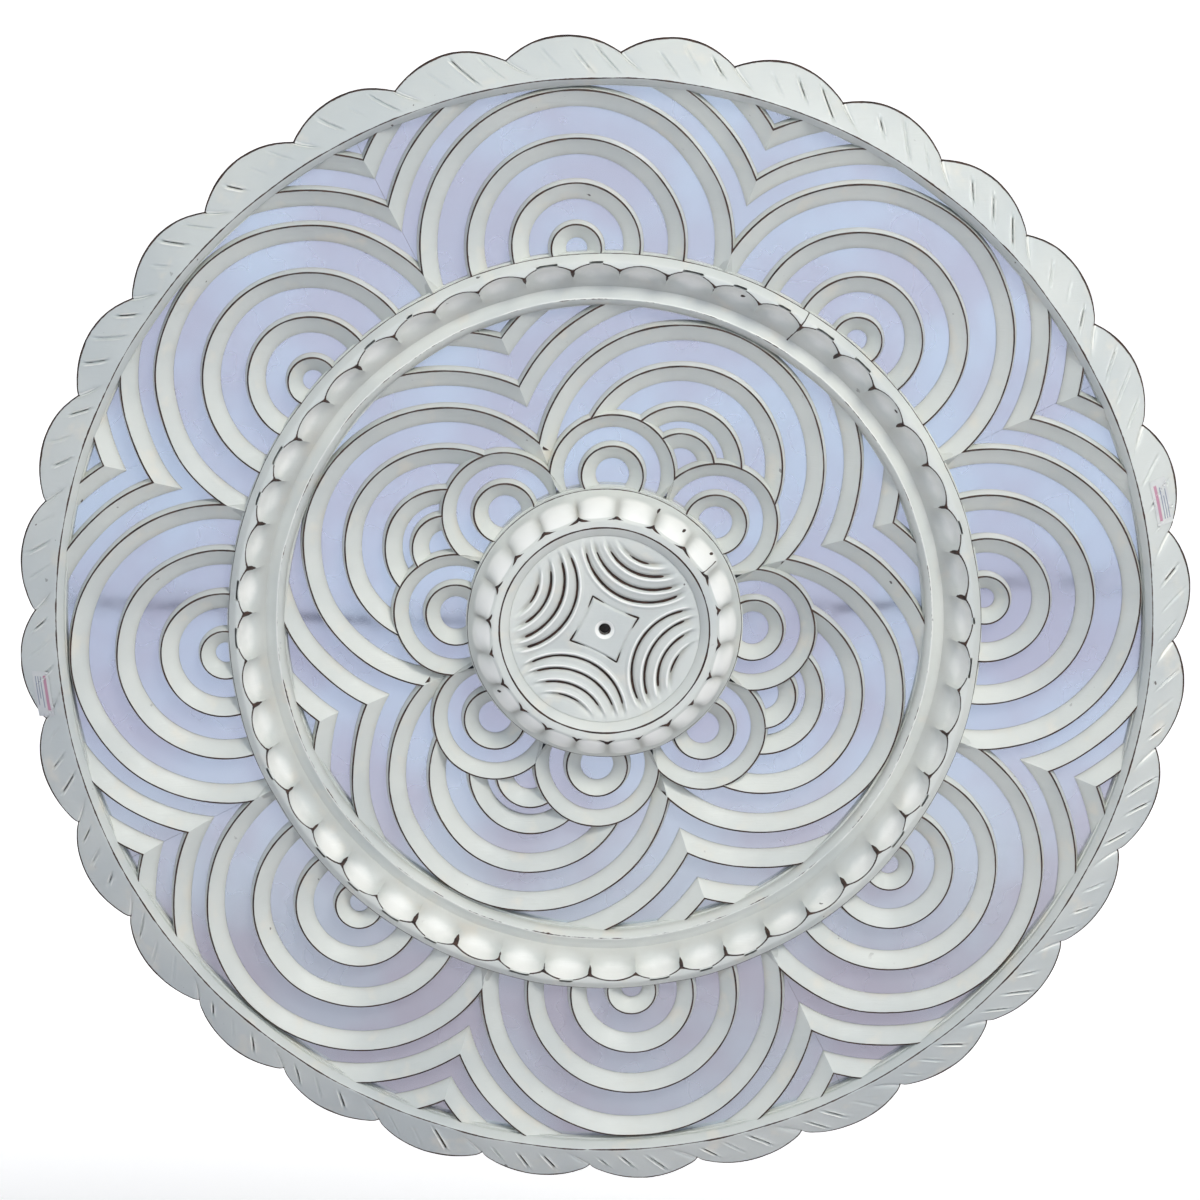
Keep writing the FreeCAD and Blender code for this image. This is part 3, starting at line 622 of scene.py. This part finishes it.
# One socket of a node tree. Sums, differences and products of sockets add Math nodes.
class Wire:
    def __init__(self, tree, socket):
        self.tree, self.socket = tree, socket

    def math(self, operation, *values):
        return addNode(self.tree, "ShaderNodeMath", {"operation": operation}, dict(enumerate(values)))

    def __add__(self, other):
        return self.math("ADD", self, other)

    def __sub__(self, other):
        return self.math("SUBTRACT", self, other)

    def __rsub__(self, other):
        return self.math("SUBTRACT", other, self)

    def __mul__(self, other):
        return self.math("MULTIPLY", self, other)

    __radd__, __rmul__ = __add__, __mul__

    def step(self, low, high):          # 0 below low, 1 above high
        inputs = {0: self, 1: low, 2: high}
        return addNode(self.tree, "ShaderNodeMapRange", {"interpolation_type": "SMOOTHSTEP"}, inputs)


# Adds a node: its type, its settings, then what its sockets hold, by name or number, as values or wires.
def addNode(tree, kind, settings=None, inputs=None, output=0):
    node = tree.nodes.new(kind)
    for key, value in (settings or {}).items():
        setattr(node, key, value)
    for key, value in (inputs or {}).items():
        if isinstance(value, Wire):
            tree.links.new(value.socket, node.inputs[key])
        else:
            node.inputs[key].default_value = value
    return Wire(tree, node.outputs[output])


def colour(red, green, blue):           # from the everyday 0 to 255 scale to the renderer's
    out = [(c / 255 / 12.92) if c <= 10 else ((c / 255 + 0.055) / 1.055) ** 2.4 for c in (red, green, blue)]
    return (*out, 1.0)


def blendColour(tree, share, first, second, mode="MIX"):
    settings = {"data_type": "RGBA", "blend_type": mode}
    return addNode(tree, "ShaderNodeMix", settings, {0: share, 6: first, 7: second}, 2)


def newMaterial(name):
    material = bpy.data.materials.new(name)
    material.use_nodes = True
    material.node_tree.nodes.clear()
    return material, material.node_tree


def finishMaterial(tree, inputs):
    shader = addNode(tree, "ShaderNodeBsdfPrincipled", None, inputs)
    tree.links.new(shader.socket, tree.nodes.new("ShaderNodeOutputMaterial").inputs["Surface"])


def noise(tree, place, scale, detail=3.0, rough=0.5):
    return addNode(tree, "ShaderNodeTexNoise", None,
                   {"Vector": place, "Scale": scale, "Detail": detail, "Roughness": rough})


def bump(tree, height, strength, distance, normal=None):
    inputs = {"Strength": strength, "Distance": distance, "Height": height}
    if normal:
        inputs["Normal"] = normal
    return addNode(tree, "ShaderNodeBump", None, inputs)


def stretched(tree, scale, turn=(0, 0, 0)):
    place = addNode(tree, "ShaderNodeTexCoord", None, None, "Object")
    return addNode(tree, "ShaderNodeMapping", None, {"Vector": place, "Rotation": turn, "Scale": scale})


paint = {
    "cream": colour(219, 221, 213), "creamShade": colour(203, 207, 202), "warm": colour(238, 230, 212),
    # the rim's tones are the cream made darker and greyer: painted shade over the whole rim
    "rim": colour(212, 215, 209), "rimShade": colour(200, 205, 202),
    # the dark colour is painted shade in hollows and dirt in patches; the white is painted highlight and
    # fresh paint
    "highlightAndFreshWhite": colour(252, 251, 244), "shadeAndDirtColour": colour(128, 118, 106),
    "wood": colour(74, 52, 42), "darkWood": colour(38, 27, 24),
}


# Thin cream paint over dark wood: cloudy tone; the dirt colour in hollows as painted shade, and in random
# patches as dirt; fresh white as painted highlight, and where paint is fresh; brush marks; and bare dark
# wood where wear is high, which along grooves is painted shadow, with an edge broken by noise.
def paintedWood(name, cream, shade):
    material, tree = newMaterial(name)
    place = stretched(tree, (1, 1, 1))
    wearAndShadow, hollowShadeAndDirt, highlightAndFreshWhite = (addNode(tree, "ShaderNodeAttribute", {"attribute_name": label}, None, "Fac")
                        for label in ("wearAndShadow", "hollowShadeAndDirt", "highlightAndFreshWhite"))
    cloud = noise(tree, place, 9.0, 4.0)
    patch = noise(tree, place, 42.0, 3.0)
    fleck = noise(tree, place, 260.0, 3.0)
    brush = noise(tree, stretched(tree, (60, 60, 900), (0, 0.4, 0)), 1.0, 3.0)
    base = blendColour(tree, cloud.step(0.35, 0.7), cream, shade)
    base = blendColour(tree, patch.step(0.55, 0.8) * 0.5, base, paint["warm"])
    # painted shade in hollows, and dirt in random patches
    shadeAndDirtMask = (hollowShadeAndDirt * 0.55 + patch * 0.25 - 0.08).step(0.0, 0.75) * 0.7
    base = blendColour(tree, shadeAndDirtMask, base, paint["shadeAndDirtColour"])
    # painted highlight, and fresh white paint in the screw's sink
    base = blendColour(tree, (highlightAndFreshWhite + (patch - 0.5) * 0.8).step(0.25, 0.9) * 0.85, base, paint["highlightAndFreshWhite"])
    ragged = wearAndShadow + (patch - 0.5) * 0.75 + (fleck - 0.5) * 0.35
    # bare wood where the paint is worn, and painted shadow along the grooves
    bareAndShadow = ragged.step(0.42, 0.58)
    speck = noise(tree, place, 120.0, 2.0).step(0.735, 0.76) * noise(tree, place, 14.0, 2.0).step(0.5, 0.65)
    bareAndShadow = bareAndShadow.math("MAXIMUM", bareAndShadow, speck * 0.8)  # small knocks
    wood = blendColour(tree, fleck.step(0.3, 0.7), paint["darkWood"], paint["wood"])
    base = blendColour(tree, bareAndShadow, base, wood)
    relief = bump(tree, brush, 0.25, 0.0006)
    relief = bump(tree, fleck * 0.4 + patch * 0.6, 0.35, 0.0008, relief)
    relief = bump(tree, 1 - bareAndShadow, 0.6, 0.0004, relief)
    finishMaterial(tree, {"Base Color": base, "Roughness": 0.36 + patch * 0.2 + bareAndShadow * 0.25,
                          "Normal": relief})
    return material


# Silvered glass: a cool tinted mirror, almost smooth, with faint dust and a lean of its own, because no two
# panes lie quite parallel.
def mirrorGlass(name, lean):
    material, tree = newMaterial(name)
    place = stretched(tree, (1, 1, 1))
    ripple = noise(tree, place, 3.2, 1.0)
    dust = noise(tree, place, 24.0, 2.0).step(0.4, 0.9)
    cloudy = noise(tree, place, 10.0, 3.0)
    normal = bump(tree, ripple, 0.35, 0.004)
    sideways, upwards = lean
    normal = addNode(tree, "ShaderNodeVectorMath", {"operation": "ADD"},
                     {0: normal, 1: (sideways, 0, upwards)})
    normal = addNode(tree, "ShaderNodeVectorMath", {"operation": "NORMALIZE"}, {0: normal})
    tone = blendColour(tree, cloudy.step(0.35, 0.65), colour(211, 219, 229), colour(205, 203, 214))
    finishMaterial(tree, {"Base Color": tone, "Metallic": 0.76 - dust * 0.08,
                          "Roughness": 0.03 + dust * 0.10, "Normal": normal})
    return material


# Sawn or planed wood seen from behind: wavy bands of grain, fine pores and a few stains.
def bareWood(name, light, dark, stretch, poreStretch, turn=(0, 0, 0)):
    material, tree = newMaterial(name)
    place = stretched(tree, stretch, turn)
    swirl = noise(tree, place, 2.0, 3.0)
    wave = {"Vector": place, "Scale": 1.4, "Distortion": 5.0, "Detail": 3.0, "Detail Scale": 1.2}
    grain = addNode(tree, "ShaderNodeTexWave", {"wave_type": "BANDS", "bands_direction": "X"}, wave, 1)
    pores = noise(tree, stretched(tree, poreStretch, turn), 1.0, 2.0)
    stain = noise(tree, stretched(tree, (5, 5, 5)), 1.0, 4.0)
    tone = blendColour(tree, grain * 0.55 + swirl * 0.45, light, dark)
    tone = blendColour(tree, pores.step(0.52, 0.75) * 0.35, tone, dark)
    tone = blendColour(tree, stain.step(0.5, 0.8) * 0.3, tone, colour(96, 78, 60))
    relief = bump(tree, grain * 0.3 + pores * 0.7, 0.3, 0.0008)
    finishMaterial(tree, {"Base Color": tone, "Roughness": 0.68 + pores * 0.15, "Normal": relief})
    return material


# Thin zinc on steel, or dark oiled steel: blotchy sheen with fine scratches.
def metal(name, light, dark, rough):
    material, tree = newMaterial(name)
    place = stretched(tree, (1, 1, 1))
    blotch = noise(tree, place, 160.0, 3.0)
    scratch = noise(tree, stretched(tree, (300, 4000, 300)), 1.0, 2.0)
    tone = blendColour(tree, blotch.step(0.35, 0.7), light, dark)
    finishMaterial(tree, {"Base Color": tone, "Metallic": 0.95 - blotch * 0.15,
                          "Roughness": rough + blotch * 0.2 + scratch.step(0.6, 0.8) * 0.12,
                          "Normal": bump(tree, blotch * 0.5 + scratch * 0.5, 0.2, 0.0002)})
    return material


# White paper with blank printed bars: a pink one along one side and broken grey ones beside it.
def labelPaper():
    material, tree = newMaterial("paper_label")
    uv = addNode(tree, "ShaderNodeUVMap", {"uv_map": "UVMap"})
    u = addNode(tree, "ShaderNodeSeparateXYZ", None, {0: uv}, 0)
    w = addNode(tree, "ShaderNodeSeparateXYZ", None, {0: uv}, 1)
    place = stretched(tree, (1, 1, 1))
    fibre = noise(tree, place, 700.0, 3.0)
    aged = noise(tree, place, 60.0, 3.0)
    tone = blendColour(tree, aged.step(0.4, 0.7), colour(214, 215, 211), colour(202, 203, 203))
    inside = u.step(0.08, 0.1) * (1 - u.step(0.86, 0.9))
    pink = w.step(0.16, 0.2) * (1 - w.step(0.34, 0.38)) * inside
    tone = blendColour(tree, pink * 0.8, tone, colour(188, 118, 146))
    for low, end in ((0.48, 0.8), (0.63, 0.6), (0.78, 0.74)):
        bar = w.step(low, low + 0.03) * (1 - w.step(low + 0.06, low + 0.09))
        bar = bar * u.step(0.1, 0.12) * (1 - u.step(end, end + 0.03))
        tone = blendColour(tree, bar * 0.75, tone, colour(104, 116, 142))
    finishMaterial(tree, {"Base Color": tone, "Roughness": 0.5 + fibre * 0.2,
                          "Normal": bump(tree, fibre, 0.2, 0.0002)})
    return material


def mount(piece, material, slot, *nodes):  # gives a new piece its finish, and its place among the CAD nodes
    piece.data.materials.clear()
    piece.data.materials.append(material)
    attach(piece, "root")
    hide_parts(*nodes)


def dress(material, *nodes):            # gives CAD nodes their finish
    for node in nodes:
        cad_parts[node].data.materials.clear()
        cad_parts[node].data.materials.append(material)


whitePaint = paintedWood("distressed_white_paint", paint["cream"], paint["creamShade"])
# The rim has the same paint in darker tones: painted shade over the whole rim.
shadedRimPaint = paintedWood("shaded_rim_paint", paint["rim"], paint["rimShade"])
mount(makeOuterFretwork(), whitePaint, "distressed_white_paint", "outer_fretwork")
mount(makeInnerFretwork(), whitePaint, "distressed_white_paint", "inner_fretwork")
print("fretworks made")
for number in range(4):
    mount(makeRimSegment(number), shadedRimPaint, "distressed_white_paint", "rim_segment_%d" % (number + 1))
    mount(makeFlutedSegment(number), whitePaint, "distressed_white_paint",
          "middle_ring_segment_%d" % (number + 1))
for number in range(2):
    mount(makeLobedHalf(number), whitePaint, "distressed_white_paint", "centre_ring_half_%d" % (number + 1))
print("rings made")
mount(makeMedallion(), whitePaint, "distressed_white_paint", "medallion")
paper = labelPaper()
for side in ("left", "right"):
    mount(makeLabel(side), paper, "paper_label", "label_" + side)
print("medallion and labels made")

leans = {                               # how far each pane leans sideways and upwards
    "outer_mirror_1": (0.002, 0.003), "outer_mirror_2": (-0.002, -0.001),
    "outer_mirror_3": (0.001, 0.002), "outer_mirror_4": (-0.001, -0.003),
    "inner_mirror": (0.0, 0.001),
}
for node, lean in leans.items():
    dress(mirrorGlass("glass_of_" + node, lean), node)
quarterTurn = (0, 1.571, 0)
board = bareWood("bare_board", colour(190, 162, 126), colour(164, 134, 98), (2.2, 2.2, 14),
                 (900, 900, 40), quarterTurn)
dress(board, "back_panel", "outer_backing_board")
rawWood = bareWood("raw_wood", colour(176, 142, 104), colour(148, 114, 80), (9, 9, 3), (500, 500, 30))
dress(rawWood, "frame_ring", "step_ring", "centre_block")
dress(metal("zinc_steel", colour(196, 198, 202), colour(150, 152, 158), 0.28),
      "hanger_strap_left", "hanger_strap_right", "hanger_ring_left", "hanger_ring_right",
      "hanger_screws_left", "hanger_screws_right", "frame_screws", "step_ring_screws")
dress(metal("dark_screw", colour(70, 66, 64), colour(44, 40, 38), 0.4), "medallion_screw")
print("materials done")


stage = {
    "floorDrop": 1.02,                  # floor below the panel's centre, as under a panel on a wall
    "wallAway": 4.85,                   # the room's wall in front of the panel, which the mirrors show
    "floorColour": (0.90, 0.90, 0.90, 1), "floorGlow": 0.95,
    "nearColour": (0.68, 0.65, 0.69, 1), "farColour": (0.76, 0.79, 0.90, 1), "farGlow": 0.27,
    "wallColour": (0.64, 0.70, 0.80, 1), "wallGlow": 0.46,
    "skirtColour": (0.10, 0.11, 0.18, 1), "skirt": 0.014,
    "skyStrength": 0.27, "keyPower": 70.0, "keyPlace": (1.3, -2.55, 2.4), "keySize": 1.3,
    "keyColour": (1.0, 0.97, 0.90),
    "floorReach": 60, "floorEnd": 90, "wallReach": 20, "wallTop": 7,
    "dropReach": 59, "dropEnd": 89, "dropTop": 14, "rearTop": 18, "dropGlow": 1.1,
}


# A flat card of the room. The look works out its tone and glow from where a point is.
def stageCard(name, corners, look):
    mesh = bpy.data.meshes.new(name)
    mesh.from_pydata(corners, [], [(0, 1, 2, 3)])
    card = bpy.data.objects.new(name, mesh)
    bpy.context.scene.collection.objects.link(card)
    material, tree = newMaterial(name)
    where = stretched(tree, (1, 1, 1))
    tone, glow = look(tree, where)
    shine = blendColour(tree, glow, (0, 0, 0, 1), tone)
    finishMaterial(tree, {"Base Color": tone, "Roughness": 0.9, "Specular IOR Level": 0.1,
                          "Emission Color": shine, "Emission Strength": 1.0})
    mesh.materials.append(material)


# White behind the panel; in front of it, where the mirrors look, lilac grey close by and lavender farther
# off.
def floorLook(tree, where):
    along = addNode(tree, "ShaderNodeSeparateXYZ", None, {0: where}, 1)
    near = along.step(-3.4, -2.2) * (1 - along.step(-0.9, 0.5))
    far = 1 - along.step(-3.9, -2.3)
    tone = blendColour(tree, near, stage["floorColour"], stage["nearColour"])
    tone = blendColour(tree, far, tone, stage["farColour"])
    return tone, along.step(0.0, 2.4) * stage["floorGlow"] + far * stage["farGlow"]


def wallLook(tree, where):
    soft = noise(tree, where, 0.9, 3.0)
    return stage["wallColour"], stage["wallGlow"] * (0.85 + soft.step(0.3, 0.75) * 0.3)


def skirtingLook(tree, where):
    return stage["skirtColour"], 0.0


def backdropLook(tree, where):
    return stage["floorColour"], stage["dropGlow"]


def upright(first, second, low, high):  # corners of a card that stands on a line between two (x, y)
    return [(*first, low), (*second, low), (*second, high), (*first, high)]


low, away = -stage["floorDrop"], -stage["wallAway"]
top = low + stage["skirt"]
side, end = stage["floorReach"], stage["floorEnd"]
stageCard("floor", [(-side, away, low), (side, away, low), (side, end, low), (-side, end, low)], floorLook)
side = stage["wallReach"]
stageCard("room_wall", upright((side, away), (-side, away), low, stage["wallTop"]), wallLook)
stageCard("skirting", upright((side, away + 0.01), (-side, away + 0.01), low, top), skirtingLook)
side, rear = stage["dropReach"], stage["dropEnd"]
for x in (-side, side):
    stageCard("backdrop_%d" % x, upright((x, away), (x, rear), low, stage["dropTop"]), backdropLook)
stageCard("backdrop_rear", upright((-side, rear), (side, rear), low, stage["rearTop"]), backdropLook)

world = bpy.data.worlds.new("soft_daylight")
world.use_nodes = True
world.node_tree.nodes["Background"].inputs["Color"].default_value = (1.0, 1.0, 1.0, 1)
world.node_tree.nodes["Background"].inputs["Strength"].default_value = stage["skyStrength"]
bpy.context.scene.world = world

keyData = bpy.data.lights.new("key_window", "AREA")
keyData.shape, keyData.size, keyData.energy = "DISK", stage["keySize"], stage["keyPower"]
keyData.color = stage["keyColour"]
key = bpy.data.objects.new("key_window", keyData)
key.location = stage["keyPlace"]
key.rotation_euler = (-Vector(stage["keyPlace"])).to_track_quat("-Z", "Y").to_euler()
bpy.context.scene.collection.objects.link(key)

camera = {
    "distance": 3.0, "elevation": 12.0, "lens": 116.4,
    "aim": (-0.0035, -0.05, 0.0235),    # a little above the medallion
}
cameraData = bpy.data.cameras.new("front_camera")
cameraData.lens, cameraData.sensor_width = camera["lens"], 36.0
cameraObject = bpy.data.objects.new("front_camera", cameraData)
rise = math.radians(camera["elevation"])
aim = Vector(camera["aim"])
cameraObject.location = aim + Vector((0, -math.cos(rise), math.sin(rise))) * camera["distance"]
cameraObject.rotation_euler = (aim - cameraObject.location).to_track_quat("-Z", "Y").to_euler()
bpy.context.scene.collection.objects.link(cameraObject)
bpy.context.scene.camera = cameraObject
bpy.context.scene.view_settings.view_transform = "Standard"
print("stage set")
